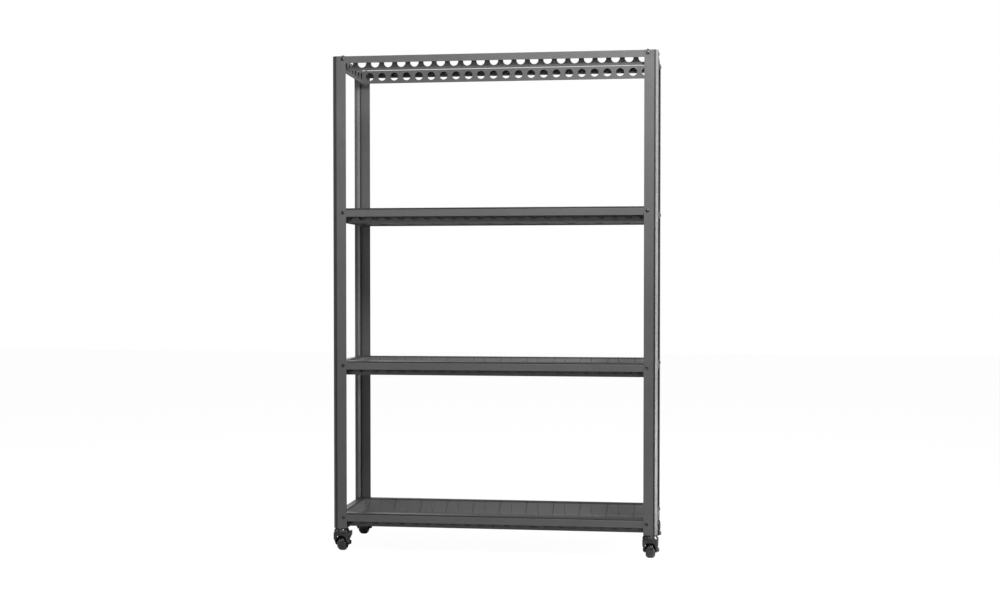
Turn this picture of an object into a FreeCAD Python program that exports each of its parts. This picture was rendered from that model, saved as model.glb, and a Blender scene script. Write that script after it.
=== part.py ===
import FreeCAD, Part

import math
import os

# A four-tier steel plant rack on casters: L-shaped posts, perforated channel rails,
# ribbed drop-in shelf pans and four swivel casters, the front two with foot brakes.
# Millimetres, +Z up, +X to the right, -Y to the front.
# The origin lies on the floor, under the centre of the box that holds the whole rack.

Vector = FreeCAD.Vector
UP = Vector(0, 0, 1)

# Outside of the frame
width = 972.0
depth = 324.0
tier_clearance = 42.0
tier_pitch = 459.0
tier_names = ("lower", "middle", "upper", "top")

# Posts: folded angles with a flat strip across the outer corner
post_flange = 41.0
post_wall = 1.5
post_bevel = 8.0
post_bend = 1.5

# Rails: channels open at the bottom, plain web outside, perforated web inside
rail_depth = 22.0
rail_lip = 21.0
rail_wall = 1.2
rail_bend = 0.6
top_web = 41.0
shelf_web = 38.0
hole_radius = 12.5
hole_pitch = 40.0
hole_drop = 19.5
hole_margin = 4.0
rail_gap = 0.5

# Shelf pans: pressed trays whose folded rims lie on the rails
pan_wall = 1.0
pan_roll = 2.25
pan_roll_steps = 6
pan_curl = 1.5
pan_sink = 35.0
pan_corner = 2.0
pan_corner_steps = 2
pan_draft = 11.0
pan_gap = 0.4
rib_pitch = 85.0
rib_top = 29.0
rib_foot = 40.0
rib_depth = 1.8
rib_slope = 1.2
bead_width = 26.0
bead_height = 1.5
bead_margin = 28.0

# Frame fasteners
bolt_radius = 3.0
bolt_length = 11.5
bolt_drop = 9.0
bolt_inset = 31.0
bolt_edge = 9.0
bolt_head_radius = 5.2
bolt_head_height = 2.2
nut_width = 10.0
nut_height = 5.0
hole_clearance = 0.2
thread_clearance = 0.05
screw_radius = 2.0
screw_length = 2.8
screw_head_radius = 4.0
screw_head_height = 3.0
screw_inset = 5.8

# Casters
wheel_radius = 25.0
tyre_width = 28.0
tyre_shoulder = 7.4
tyre_edge = 0.5
core_radius = 17.0
core_width = 25.0
core_web = 6.0
core_rim = 3.0
hub_radius = 9.0
hub_gap = 0.3
spoke_count = 6
spoke_wall = 2.4
trail = 13.0
axle_radius = 4.0
sleeve_radius = 5.5
axle_head_radius = 6.5
axle_head_height = 2.5
axle_nut_width = 12.0
axle_nut_height = 5.0
axle_tip = 1.0
running_clearance = 0.05
fork_wall = 2.0
fork_bend = 2.0
fork_crown = 8.5
fork_half_width = 23.5
fork_half_axle = 20.0
fork_joggle_rise = 9.0
fork_joggle = 5.5
fork_front = 14.0
fork_rear = 9.0
fork_corner = 5.0
arch_half = 15.5
arch_round = 11.0
arch_drop = 2.0
boss_radius = 8.0
race_radius = 20.5
race_height = 4.0
race_taper = 2.5
cap_radius = 23.5
cap_wall = 1.6
cap_rise = 11.0
cap_gap = 1.1
cap_neck = 8.0
cap_shoulder = 3.5
ball_ring = 14.0
ball_radius = 2.75
ball_count = 12
pin_radius = 5.0
pin_head_radius = 8.0
pin_head_height = 1.8
pin_gap = 0.2
plate_wall = 2.5
plate_tab = 14.0
stem_radius = 4.0
stem_tip = 0.5
stem_nut_width = 24.0
stem_nut_height = 2.5

# Foot brakes of the front casters
pedal_ahead = 20.0
pedal_rise = 26.0
pedal_pin_radius = 2.0
pedal_hub_radius = 4.0
pedal_ear = 5.0
pedal_ear_round = 3.4
pedal_tail = 25.0
pedal_drop = 5.0
pedal_wall = 2.6
pedal_width = 30.0
pedal_side_gap = 0.4
pedal_travel = 20.0
shoe_gap = 0.3
shoe_width = 6.0

# Places that follow from the sizes above
half_width = width / 2
half_depth = depth / 2
fork_top = 2 * wheel_radius + fork_crown
fork_joggle_low = wheel_radius + fork_joggle_rise
fork_joggle_high = fork_joggle_low + fork_joggle
cap_lip = fork_top + cap_gap
cap_top = fork_top + cap_rise
cap_straight = cap_top - cap_neck
post_foot = cap_top + stem_nut_height
lowest_tier = post_foot + tier_clearance
tier_tops = [lowest_tier + i * tier_pitch for i in range(len(tier_names))]
post_top = tier_tops[-1]
stem_inset = post_flange / 2
rear_reach = half_depth - stem_inset + trail + wheel_radius
front_reach = half_depth + max(bolt_head_height, cap_radius - stem_inset)
frame_y = (front_reach - rear_reach) / 2
bevel_seat = post_bevel + post_wall * (math.sqrt(2) - 1)
long_half = half_width - bevel_seat - rail_gap
side_half = half_depth - post_wall - rail_depth - rail_gap
side_bolt_inset = half_depth - side_half + bolt_edge
rib_room = half_width - post_wall - rail_depth - pan_gap - pan_draft - pan_corner - pan_wall
rib_reach = int((rib_room - rib_foot / 2 - rib_slope) // rib_pitch)
corners = (
    ("front_left", -1, -1),
    ("front_right", 1, -1),
    ("rear_left", -1, 1),
    ("rear_right", 1, 1),
)


def outline(points, place):
    """Closed wire through (u, v, radius) points, each corner rounded by its radius."""
    starts = []
    ends = []
    middles = []
    count = len(points)
    for i in range(count):
        u, v, radius = points[i]
        before = points[i - 1]
        after = points[(i + 1) % count]
        back = Vector(before[0] - u, before[1] - v, 0).normalize()
        ahead = Vector(after[0] - u, after[1] - v, 0).normalize()
        corner = Vector(u, v, 0)
        if radius <= 0:
            starts.append(corner)
            ends.append(corner)
            middles.append(None)
            continue
        half = back.getAngle(ahead) / 2
        setback = radius / math.tan(half)
        inward = (back + ahead).normalize()
        starts.append(corner + back * setback)
        ends.append(corner + ahead * setback)
        middles.append(corner + inward * (radius / math.sin(half) - radius))
    edges = []
    for i in range(count):
        if middles[i] is not None:
            arc = [place(p.x, p.y) for p in (starts[i], middles[i], ends[i])]
            edges.append(Part.Arc(*arc).toShape())
        following = starts[(i + 1) % count]
        if (following - ends[i]).Length > 1e-6:
            first = place(ends[i].x, ends[i].y)
            last = place(following.x, following.y)
            edges.append(Part.LineSegment(first, last).toShape())
    return Part.Wire(edges)


def sheet(path, wall, bend):
    """Section of a folded sheet whose outer face follows path, with its wall to the left."""
    face = []
    back = []
    last = len(path) - 1
    for i, (u, v) in enumerate(path):
        before = path[max(i - 1, 0)]
        after = path[min(i + 1, last)]
        into = Vector(u - before[0], v - before[1], 0)
        out = Vector(after[0] - u, after[1] - v, 0)
        if i == 0:
            into = out
        if i == last:
            out = into
        left_in = UP.cross(into.normalize())
        left_out = UP.cross(out.normalize())
        shift = (left_in + left_out) * (wall / (1 + left_in.dot(left_out)))
        turn = into.cross(out).z
        face_radius = 0.0
        back_radius = 0.0
        if 0 < i < last:
            face_radius = bend + wall if turn > 0 else bend
            back_radius = bend if turn > 0 else bend + wall
        face.append((u, v, face_radius))
        back.append((u + shift.x, v + shift.y, back_radius))
    return face + back[::-1]


def prism(points, place, travel):
    """Solid made by pushing a rounded outline along travel."""
    return Part.Face(outline(points, place)).extrude(travel)


def turned(points, axis):
    """Solid of revolution of an (along, radius) outline about an axis through the origin."""
    if axis == "x":
        place = lambda along, radius: Vector(along, radius, 0)
        direction = Vector(1, 0, 0)
    else:
        place = lambda along, radius: Vector(radius, 0, along)
        direction = UP
    return Part.Face(outline(points, place)).revolve(Vector(0, 0, 0), direction, 360)


def hexagon(across_flats, height, bore, direction):
    """Hexagonal nut standing on the origin along direction, or a plain hexagon with no bore."""
    reach = across_flats / math.sqrt(3)
    turns = [math.radians(30 + 60 * i) for i in range(6)]
    points = [(reach * math.cos(t), reach * math.sin(t), 0) for t in turns]
    nut = prism(points, lambda u, v: Vector(u, v, 0), UP * height)
    if bore > 0:
        nut = nut.cut(Part.makeCylinder(bore, height))
    return aimed(nut, direction)


def aimed(shape, direction):
    """Copy of a shape with its +Z turned to direction."""
    result = shape.copy()
    result.Placement = FreeCAD.Placement(Vector(0, 0, 0), FreeCAD.Rotation(UP, direction))
    return result


def moved(shape, x, y, z):
    """Copy of a shape, shifted."""
    result = shape.copy()
    result.translate(Vector(x, y, z))
    return result


def spun(shape, degrees):
    """Copy of a shape, turned about the vertical through the origin."""
    result = shape.copy()
    result.rotate(Vector(0, 0, 0), UP, degrees)
    return result


def button_bolt(radius, length, head_radius, head_height, direction):
    """Bolt with a domed head above the origin and its shank below, aimed head first."""
    points = [
        (-length, 0, 0),
        (head_height, 0, 0),
        (head_height, head_radius, head_height * 0.9),
        (0, head_radius, 0),
        (0, radius, 0),
        (-length, radius, 0),
    ]
    return aimed(turned(points, "z"), direction)


def bolt_places(top):
    """Seat and outward direction of each frame bolt of one tier."""
    places = []
    height = top - bolt_drop
    for _, sx, sy in corners:
        x = sx * (half_width - bolt_inset)
        places.append((Vector(x, frame_y + sy * half_depth, height), Vector(0, sy, 0)))
        y = frame_y + sy * (half_depth - side_bolt_inset)
        places.append((Vector(sx * half_width, y, height), Vector(sx, 0, 0)))
    return places


def post(sx, sy):
    """Folded angle post of one corner, drilled for the rail bolts of every tier."""
    path = [(0, post_flange), (0, post_bevel), (post_bevel, 0), (post_flange, 0)]
    section = sheet(path, post_wall, post_bend)

    def place(u, v):
        return Vector(sx * (half_width - u), frame_y + sy * (half_depth - v), post_foot)

    body = prism(section, place, UP * (post_top - post_foot))
    drills = []
    for top in tier_tops:
        for seat, outward in bolt_places(top):
            if seat.x * sx > 0 and (seat.y - frame_y) * sy > 0:
                start = seat - outward * 2 * post_wall
                radius = bolt_radius + hole_clearance
                drills.append(Part.makeCylinder(radius, 4 * post_wall, start, outward))
    return body.cut(Part.makeCompound(drills))


def rail(half_length, web, bolt_at, screws):
    """Rail seen from its outside: outer face in the plane y = 0, top in the plane z = 0."""
    path = [(rail_depth, -web), (rail_depth, 0), (0, 0), (0, -rail_lip)]
    section = sheet(path, rail_wall, rail_bend)
    travel = Vector(2 * half_length, 0, 0)
    body = prism(section, lambda u, v: Vector(-half_length, u, v), travel)
    each_way = int((half_length - hole_radius - hole_margin) // hole_pitch)
    drills = []
    for i in range(-each_way, each_way + 1):
        start = Vector(i * hole_pitch, rail_depth - 2 * rail_wall, -hole_drop)
        drills.append(Part.makeCylinder(hole_radius, 3 * rail_wall, start, Vector(0, 1, 0)))
    for side in (-1, 1):
        start = Vector(side * bolt_at, -rail_wall, -bolt_drop)
        radius = bolt_radius + hole_clearance
        drills.append(Part.makeCylinder(radius, 3 * rail_wall, start, Vector(0, 1, 0)))
        if screws:
            start = Vector(side * bolt_at, screw_inset, -2 * rail_wall)
            radius = screw_radius + thread_clearance
            drills.append(Part.makeCylinder(radius, 3 * rail_wall, start))
    return body.cut(Part.makeCompound(drills))


def rails_of(tier, top):
    """The four rails of one tier, by node name."""
    is_top = tier == tier_names[-1]
    web = top_web if is_top else shelf_web
    long_rail = rail(long_half, web, half_width - bolt_inset, is_top)
    side_rail = rail(side_half, web, half_depth - side_bolt_inset, False)
    reach_y = half_depth - post_wall
    reach_x = half_width - post_wall
    return {
        tier + "_front_rail": moved(long_rail, 0, frame_y - reach_y, top),
        tier + "_rear_rail": moved(spun(long_rail, 180), 0, frame_y + reach_y, top),
        tier + "_left_rail": moved(spun(side_rail, -90), -reach_x, frame_y, top),
        tier + "_right_rail": moved(spun(side_rail, 90), reach_x, frame_y, top),
    }


def rim_outline(inset, z):
    """Outline of the pan's rim, its corners cut to pass inside the posts' strips."""
    hx = half_width - post_wall - pan_gap - inset
    hy = half_depth - post_wall - pan_gap - inset
    cut = bevel_seat - post_wall + (2 - math.sqrt(2)) * (-pan_gap - inset)
    points = []
    for sx, sy, x_first in ((1, 1, False), (-1, 1, True), (-1, -1, False), (1, -1, True)):
        pair = [(sx * hx, sy * (hy - cut), 0), (sx * (hx - cut), sy * hy, 0)]
        points += pair[::-1] if x_first else pair
    return outline(points, lambda u, v: Vector(u, v, z))


def well_outline(z, inset):
    """Outline of the pan's well at a height above its floor, with the ribs of the long walls."""
    share = z / (pan_sink + 2 * pan_roll)
    draw = pan_draft * (1 - share) + inset + pan_gap
    hx = half_width - post_wall - rail_depth - draw
    hy = half_depth - post_wall - rail_depth - draw
    flat = (rib_foot + (rib_top - rib_foot) * share) / 2
    slope = flat + rib_slope
    front = [Vector(-hx, -hy, z)]
    for i in range(-rib_reach, rib_reach + 1):
        x = i * rib_pitch
        for offset, lift in ((-slope, 0), (-flat, rib_depth), (flat, rib_depth), (slope, 0)):
            front.append(Vector(x + offset, -hy + lift, z))
    rear = [Vector(-p.x, -p.y, z) for p in front]
    corner = Vector(hx, -hy, z)
    points = front + [corner] + rear + [-corner + Vector(0, 0, 2 * z)]
    return Part.makePolygon(points + points[:1])


def well(inset, rise):
    """Well of the pan as a solid, its foot rounded into the floor."""
    sections = []
    for i in range(pan_corner_steps + 1):
        turn = math.pi / 2 * i / pan_corner_steps
        height = rise + pan_corner * (1 - math.cos(turn))
        sections.append(well_outline(height, inset + pan_corner * (1 - math.sin(turn))))
    sections.append(well_outline(pan_sink + 2 * pan_roll, inset))
    return Part.makeLoft(sections, True, True)


def roll(inset):
    """Plate as thick as the rolled rim, its edge round, set in from the rim's own skin."""
    radius = pan_roll - inset
    sections = []
    for i in range(pan_roll_steps + 1):
        turn = math.pi * (i / pan_roll_steps - 0.5)
        height = pan_sink + pan_roll + radius * math.sin(turn)
        sections.append(rim_outline(pan_roll - radius * math.cos(turn), height))
    return Part.makeLoft(sections, True, True)


def pan():
    """Ribbed shelf pan with rolled rim, the top of the rails in the plane z = 0."""
    curl = Part.Face(rim_outline(pan_roll + pan_curl, pan_sink)).extrude(UP * pan_roll)
    rim = roll(0).cut([roll(pan_wall), curl])
    body = rim.fuse(well(0, 0)).cut(well(pan_wall, pan_wall))
    reach = half_depth - post_wall - rail_depth - pan_gap - pan_draft - bead_margin
    bead_run = reach - bead_width / 2
    pads = []
    hollows = []
    for i in range(-rib_reach, rib_reach):
        x = (i + 0.5) * rib_pitch
        pads.append(moved(bead(bead_width / 2, bead_run, bead_height), x, 0, pan_wall))
        hollow = bead(bead_width / 2 - pan_wall, bead_run, bead_height)
        hollows.append(moved(hollow, x, 0, 0))
    body = body.fuse(pads).cut(Part.makeCompound(hollows)).removeSplitter()
    return moved(body, 0, frame_y, -pan_sink)


def bead(radius, run, height):
    """Long rounded bead across the pan's floor, standing on the plane z = 0."""
    points = []
    for u, v in ((radius, -run), (radius, run), (-radius, run), (-radius, -run)):
        points.append((u, v + math.copysign(radius, v), radius))
    return prism(points, lambda u, v: Vector(u, v, 0), UP * height)


def fasteners():
    """Bolts and nuts of each tier and the screws on top of the frame, by node name."""
    nodes = {}
    for tier, top in zip(tier_names, tier_tops):
        bolts = []
        nuts = []
        for seat, outward in bolt_places(top):
            bolt = button_bolt(bolt_radius, bolt_length, bolt_head_radius, bolt_head_height, outward)
            bolts.append(moved(bolt, seat.x, seat.y, seat.z))
            nut = hexagon(nut_width, nut_height, bolt_radius + thread_clearance, -outward)
            at = seat - outward * (post_wall + rail_wall)
            nuts.append(moved(nut, at.x, at.y, at.z))
        nodes[tier + "_tier_bolts"] = Part.makeCompound(bolts)
        nodes[tier + "_tier_nuts"] = Part.makeCompound(nuts)
    screws = []
    screw = button_bolt(screw_radius, screw_length, screw_head_radius, screw_head_height, UP)
    for _, sx, sy in corners:
        x = sx * (half_width - bolt_inset)
        y = frame_y + sy * (half_depth - post_wall - screw_inset)
        screws.append(moved(screw, x, y, post_top))
    nodes["top_frame_screws"] = Part.makeCompound(screws)
    return nodes


def foot_plate(sx, sy):
    """Plate welded inside the foot of one post by two turned-up tabs, bored for the stem."""
    path = [(post_wall, plate_tab), (post_wall, 0), (post_flange, 0)]
    section = sheet(path, plate_wall, post_bend)
    start = bevel_seat + post_bend
    run = post_flange - start

    def corner(u, v, z):
        return Vector(sx * (half_width - u), frame_y + sy * (half_depth - v), post_foot + z)

    front = prism(section, lambda v, z: corner(start, v, z), Vector(-sx * run, 0, 0))
    side = prism(section, lambda u, z: corner(u, start, z), Vector(0, -sy * run, 0))
    x, y = stem_place(sx, sy)
    hole = Part.makeCylinder(stem_radius + thread_clearance, plate_wall, Vector(x, y, post_foot))
    return front.fuse(side).cut(hole).removeSplitter()


def stem_place(sx, sy):
    """Swivel axis of the caster of one corner."""
    return sx * (half_width - stem_inset), frame_y + sy * (half_depth - stem_inset)


def ball_height():
    """Height of the ball centres, half way between the two races."""
    return (fork_top + race_height + cap_top - cap_wall) / 2


def ball_track():
    """Ring that cuts the grooves in both races."""
    radius = ball_radius + running_clearance
    return Part.makeTorus(ball_ring, radius, Vector(0, 0, ball_height()), UP)


def bearing_cap():
    """Fixed upper race, pressed from sheet, about the swivel axis."""
    path = [
        (cap_radius, cap_lip),
        (cap_radius, cap_straight),
        (cap_radius - cap_shoulder, cap_top),
        (pin_radius, cap_top),
    ]
    section = sheet(path, cap_wall, cap_wall)
    points = [(height, radius, rounding) for radius, height, rounding in section]
    return turned(points, "z").cut(ball_track())


def caster_stem():
    """King pin and threaded stem in one piece, about the swivel axis."""
    head_top = fork_top - fork_wall - pin_gap
    tip = post_foot + plate_wall + stem_tip
    points = [
        (head_top - pin_head_height, 0, 0),
        (head_top - pin_head_height, pin_head_radius, 1.0),
        (head_top, pin_head_radius, 0),
        (head_top, pin_radius, 0),
        (cap_top, pin_radius, 0),
        (cap_top, stem_radius, 0),
        (tip, stem_radius, 0.5),
        (tip, 0, 0),
    ]
    return turned(points, "z")


def bearing_balls():
    """Balls of one swivel bearing."""
    balls = []
    for i in range(ball_count):
        turn = math.radians(360 / ball_count * i)
        centre = Vector(ball_ring * math.cos(turn), ball_ring * math.sin(turn), ball_height())
        balls.append(Part.makeSphere(ball_radius, centre))
    return balls


def fork(braked):
    """Stamped hood of a fork: arched front, joggled cheeks with the axle's seats, and the lower race."""
    a = fork_half_axle
    b = fork_half_width
    foot = wheel_radius - boss_radius
    under = fork_top - fork_wall
    across = Vector(2 * b, 0, 0)
    path = [
        (a, foot),
        (a, fork_joggle_low),
        (b, fork_joggle_high),
        (b, fork_top),
        (-b, fork_top),
        (-b, fork_joggle_high),
        (-a, fork_joggle_low),
        (-a, foot),
    ]
    section = sheet(path, fork_wall, fork_bend)
    rear = trail + fork_rear
    ear_y = trail + pedal_ahead + pedal_ear
    run = Vector(0, fork_front + ear_y, 0)
    strap = prism(section, lambda u, v: Vector(u, -fork_front, v), run)
    front = prism(section[: len(path)], lambda u, v: Vector(u, -fork_front, v), Vector(0, fork_wall, 0))
    arch_top = 2 * wheel_radius - arch_drop
    arch = [
        (-arch_half, 0, 0),
        (arch_half, 0, 0),
        (arch_half, arch_top, arch_round),
        (-arch_half, arch_top, arch_round),
    ]
    front = front.cut(prism(arch, lambda u, v: Vector(u, -fork_front, v), Vector(0, fork_wall, 0)))
    side = [(-fork_front, fork_top, 0)]
    if braked:
        ear_foot = wheel_radius + pedal_rise - pedal_ear
        side.append((ear_y, fork_top, pedal_ear_round))
        side.append((ear_y, ear_foot, pedal_ear_round))
        side.append((rear, ear_foot - pedal_ear, pedal_ear_round))
    else:
        side.append((rear, fork_top, 0))
    side.append((rear, foot, boss_radius))
    side.append((trail - boss_radius, foot, boss_radius))
    side.append((-fork_front, fork_joggle_low, fork_corner))
    mask = prism(side, lambda u, v: Vector(-b, u, v), across)
    plan = [(-b, -fork_front, fork_corner), (b, -fork_front, fork_corner), (b, ear_y, 0), (-b, ear_y, 0)]
    corners_cut = prism(plan, lambda u, v: Vector(u, v, 0), UP * fork_top)
    hood = strap.fuse(front).common(mask).common(corners_cut)
    race_points = [
        (under, 0, 0),
        (under, race_radius, 0),
        (fork_top, race_radius, 0),
        (fork_top + race_height, race_radius - race_taper, 1.5),
        (fork_top + race_height, 0, 0),
    ]
    tools = [
        Part.makeCylinder(pin_radius + running_clearance, fork_top + race_height),
        Part.makeCylinder(axle_radius + thread_clearance, 2 * b, axle_place(-b), across),
        ball_track(),
    ]
    if braked:
        start = Vector(fork_wall - b, rear, fork_joggle_high)
        tools.append(Part.makeBox(2 * (b - fork_wall), ear_y, fork_top, start))
        tools.append(Part.makeCylinder(pedal_pin_radius + running_clearance, 2 * b, pedal_pivot(-b), across))
    return hood.fuse(turned(race_points, "z")).cut(tools).removeSplitter()


def axle_place(x):
    """Point on the axle's line, in the caster's own frame."""
    return Vector(x, trail, wheel_radius)


def axle_set():
    """Axle bolt, spacer sleeve and nut."""
    inner = fork_half_axle - fork_wall
    length = 2 * fork_half_axle + axle_nut_height + axle_tip
    left = Vector(-1, 0, 0)
    bolt = button_bolt(axle_radius, length, axle_head_radius, axle_head_height, left)
    bolt.translate(axle_place(-fork_half_axle))
    sleeve_points = [
        (-inner, axle_radius + thread_clearance, 0),
        (inner, axle_radius + thread_clearance, 0),
        (inner, sleeve_radius, 0),
        (-inner, sleeve_radius, 0),
    ]
    sleeve = turned(sleeve_points, "x")
    sleeve.translate(axle_place(0))
    nut = hexagon(axle_nut_width, axle_nut_height, axle_radius + thread_clearance, -left)
    nut.translate(axle_place(fork_half_axle))
    return Part.makeCompound([bolt, sleeve, nut])


def wheel_core():
    """Moulded wheel centre: rim, web, hub and spokes, bored to run on the sleeve."""
    hub_half = fork_half_axle - fork_wall - hub_gap
    half = core_width / 2
    inside = core_radius - core_rim
    bore = sleeve_radius + running_clearance
    points = [
        (-hub_half, bore, 0),
        (hub_half, bore, 0),
        (hub_half, hub_radius, 1.0),
        (core_web / 2, hub_radius, 1.0),
        (core_web / 2, inside, 1.0),
        (half, inside, 0),
        (half, core_radius, 0),
        (-half, core_radius, 0),
        (-half, inside, 0),
        (-core_web / 2, inside, 1.0),
        (-core_web / 2, hub_radius, 1.0),
        (-hub_half, hub_radius, 1.0),
    ]
    spokes = []
    run = core_radius - core_rim / 2 - hub_radius + 1.0
    for i in range(spoke_count):
        spoke = Part.makeBox(
            core_width - 3.0, run, spoke_wall, Vector(1.5 - half, hub_radius - 1.0, -spoke_wall / 2)
        )
        spoke.rotate(Vector(0, 0, 0), Vector(1, 0, 0), 360 / spoke_count * i)
        spokes.append(spoke)
    core = turned(points, "x").fuse(spokes).removeSplitter()
    core.translate(axle_place(0))
    return core


def tyre():
    """Rounded tread, moulded over the core."""
    half = tyre_width / 2
    points = [
        (-half, core_radius, tyre_edge),
        (half, core_radius, tyre_edge),
        (half, wheel_radius, tyre_shoulder),
        (-half, wheel_radius, tyre_shoulder),
    ]
    tread = turned(points, "x")
    tread.translate(axle_place(0))
    return tread


def pedal_pivot(x):
    """Point on the brake pedal's pivot axis, in the caster's own frame."""
    return Vector(x, trail + pedal_ahead, wheel_radius + pedal_rise)


def brake_pedal():
    """Foot pedal with its hub, pin and shoe, released; the shoe nears the tread as it turns."""
    pivot = pedal_pivot(0)
    axis = Vector(1, 0, 0)
    hub_half = fork_half_width - fork_wall - pedal_side_gap
    hub = Part.makeCylinder(pedal_hub_radius, 2 * hub_half, pedal_pivot(-hub_half), axis)
    pin = Part.makeCylinder(pedal_pin_radius, 2 * fork_half_width, pedal_pivot(-fork_half_width), axis)
    top = pivot.z + pedal_hub_radius
    tail = pivot.y + pedal_tail
    path = [
        (tail, top - pedal_drop),
        (tail - pedal_tail / 3, top - pedal_drop / 4),
        (pivot.y, top),
    ]
    section = sheet(path, pedal_wall, pedal_wall)
    tread = prism(section, lambda u, v: Vector(-pedal_width / 2, u, v), axis * pedal_width)
    reach = math.hypot(pedal_ahead, pedal_rise) - wheel_radius - shoe_gap
    toward = math.degrees(math.atan2(-pedal_rise, -pedal_ahead)) + pedal_travel
    shoe = Part.makeBox(tyre_width / 2, reach, shoe_width, Vector(-tyre_width / 4, 0, -shoe_width / 2))
    shoe.rotate(Vector(0, 0, 0), axis, toward)
    limit = Part.makeCylinder(reach, tyre_width, Vector(-tyre_width / 2, 0, 0), axis)
    shoe = moved(shoe.common(limit), 0, pivot.y, pivot.z)
    return hub.fuse([pin, tread, shoe]).removeSplitter()


def casters():
    """The four casters, by node name, with what they share gathered in groups."""
    cap = bearing_cap()
    stem = caster_stem()
    balls = bearing_balls()
    nut = hexagon(stem_nut_width, stem_nut_height, stem_radius + thread_clearance, UP)
    forks = {-1: fork(True), 1: fork(False)}
    moving = {"axle": axle_set(), "wheel_core": wheel_core(), "tyre": tyre()}
    pedal = brake_pedal()
    shared = ("foot_plates", "bearing_caps", "caster_stems", "caster_nuts", "bearing_balls")
    groups = {name: [] for name in shared}
    nodes = {}
    for corner, sx, sy in corners:
        x, y = stem_place(sx, sy)
        groups["foot_plates"].append(foot_plate(sx, sy))
        groups["bearing_caps"].append(moved(cap, x, y, 0))
        groups["caster_stems"].append(moved(stem, x, y, 0))
        groups["caster_nuts"].append(moved(nut, x, y, cap_top))
        groups["bearing_balls"] += [moved(ball, x, y, 0) for ball in balls]
        nodes[corner + "_caster_fork"] = moved(forks[sy], x, y, 0)
        for name, shape in moving.items():
            nodes[corner + "_" + name] = moved(shape, x, y, 0)
        if sy < 0:
            nodes[corner + "_brake_pedal"] = moved(pedal, x, y, 0)
    for name, shapes in groups.items():
        nodes[name] = Part.makeCompound(shapes)
    return nodes


def build():
    """Every node of the rack, by name."""
    nodes = {corner + "_post": post(sx, sy) for corner, sx, sy in corners}
    shelf = pan()
    for tier, top in zip(tier_names, tier_tops):
        nodes.update(rails_of(tier, top))
        if tier != tier_names[-1]:
            nodes[tier + "_shelf_pan"] = moved(shelf, 0, 0, top)
    nodes.update(fasteners())
    nodes.update(casters())
    return nodes


os.makedirs("parts", exist_ok=True)
for node, shape in build().items():
    shape.exportStep("parts/" + node + ".step")
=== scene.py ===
"""Looks of a four-tier plant rack: coated steel frame, ribbed shelf pans and swivel casters.

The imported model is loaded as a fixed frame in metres. Each sub-assembly is a class that holds
its sizes, builds the finer pieces that stand for some of the plain ones, and dresses all it owns.
"""

from __future__ import annotations

import logging
import math
from dataclasses import dataclass, field
from enum import Enum
from typing import Iterable, Sequence

import bmesh
import bpy
from mathutils import Matrix, Vector

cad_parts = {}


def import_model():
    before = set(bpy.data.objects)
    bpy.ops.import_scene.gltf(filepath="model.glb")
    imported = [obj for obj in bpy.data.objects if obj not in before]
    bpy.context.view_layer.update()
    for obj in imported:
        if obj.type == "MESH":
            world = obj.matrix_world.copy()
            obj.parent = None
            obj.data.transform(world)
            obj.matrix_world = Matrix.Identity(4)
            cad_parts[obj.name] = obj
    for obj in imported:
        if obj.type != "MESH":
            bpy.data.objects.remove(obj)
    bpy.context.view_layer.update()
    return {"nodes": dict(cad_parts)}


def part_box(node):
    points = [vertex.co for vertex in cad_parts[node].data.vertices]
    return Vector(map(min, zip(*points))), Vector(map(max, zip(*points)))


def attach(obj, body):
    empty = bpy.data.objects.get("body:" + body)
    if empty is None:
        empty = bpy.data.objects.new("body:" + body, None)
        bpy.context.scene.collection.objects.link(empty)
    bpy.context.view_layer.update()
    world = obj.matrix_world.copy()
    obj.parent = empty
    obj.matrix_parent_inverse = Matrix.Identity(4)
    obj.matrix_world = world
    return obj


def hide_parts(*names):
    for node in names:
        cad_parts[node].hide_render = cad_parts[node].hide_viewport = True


LOG = logging.getLogger("plant_rack")
MM = 0.001
TIERS = ("lower", "middle", "upper", "top")
PAN_TIERS = TIERS[:3]
SIDES = ("front", "right", "rear", "left")
ACROSS = Vector((0, 1, 0))
UP = Vector((0, 0, 1))

Pair = tuple[float, float]
Colour = tuple[float, float, float]
Socket = bpy.types.NodeSocket
Piece = bpy.types.Object
BLACK: Colour = (0.0, 0.0, 0.0)
WHITE = (1.0, 1.0, 1.0, 1.0)

# Product of a surface normal's parts where the painted shade on the slope of a rib begins and where
# it is in full.
RIB_SLOPE = (0.34, 0.42)
# Part of a surface normal above which a face counts as looking along that axis.
LOOKS_ALONG = 0.8
# Waist, arms and sharpness of a cross recess.
CROSS_WAIST, CROSS_ARM, CROSS_POWER = 0.42, 0.58, 3


class Corner(Enum):
    """The four corners of the rack, with the signs of X and Y."""

    FRONT_LEFT = ("front_left", -1, -1)
    FRONT_RIGHT = ("front_right", 1, -1)
    REAR_LEFT = ("rear_left", -1, 1)
    REAR_RIGHT = ("rear_right", 1, 1)

    @property
    def label(self) -> str:
        """Name of the corner, as the nodes spell it."""
        return self.value[0]

    @property
    def braked(self) -> bool:
        """Whether the caster of this corner has a foot brake."""
        return self.value[2] < 0


class Form(Enum):
    """Outlines that a ring of a turned or drawn piece can have."""

    ROUND = "round"
    HEX = "hex"
    CROSS = "cross"


def feed(links: bpy.types.NodeLinks, value: object, socket: Socket) -> None:
    """Joins another socket to an input, or gives the input a plain value."""
    if isinstance(value, Socket):
        links.new(value, socket)
    else:
        socket.default_value = value


def mixed(tree: bpy.types.NodeTree, sink: str, *sources: Socket) -> None:
    """Ends a tree with a mix of two shaders.

    Args:
        tree: The tree.
        sink: Type of its output node.
        sources: The share of the second shader, the first shader and the second.
    """
    mix = tree.nodes.new("ShaderNodeMixShader")
    for source, socket in zip(sources, mix.inputs):
        tree.links.new(source, socket)
    tree.links.new(mix.outputs["Shader"], tree.nodes.new(sink).inputs["Surface"])


# Finishes



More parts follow.
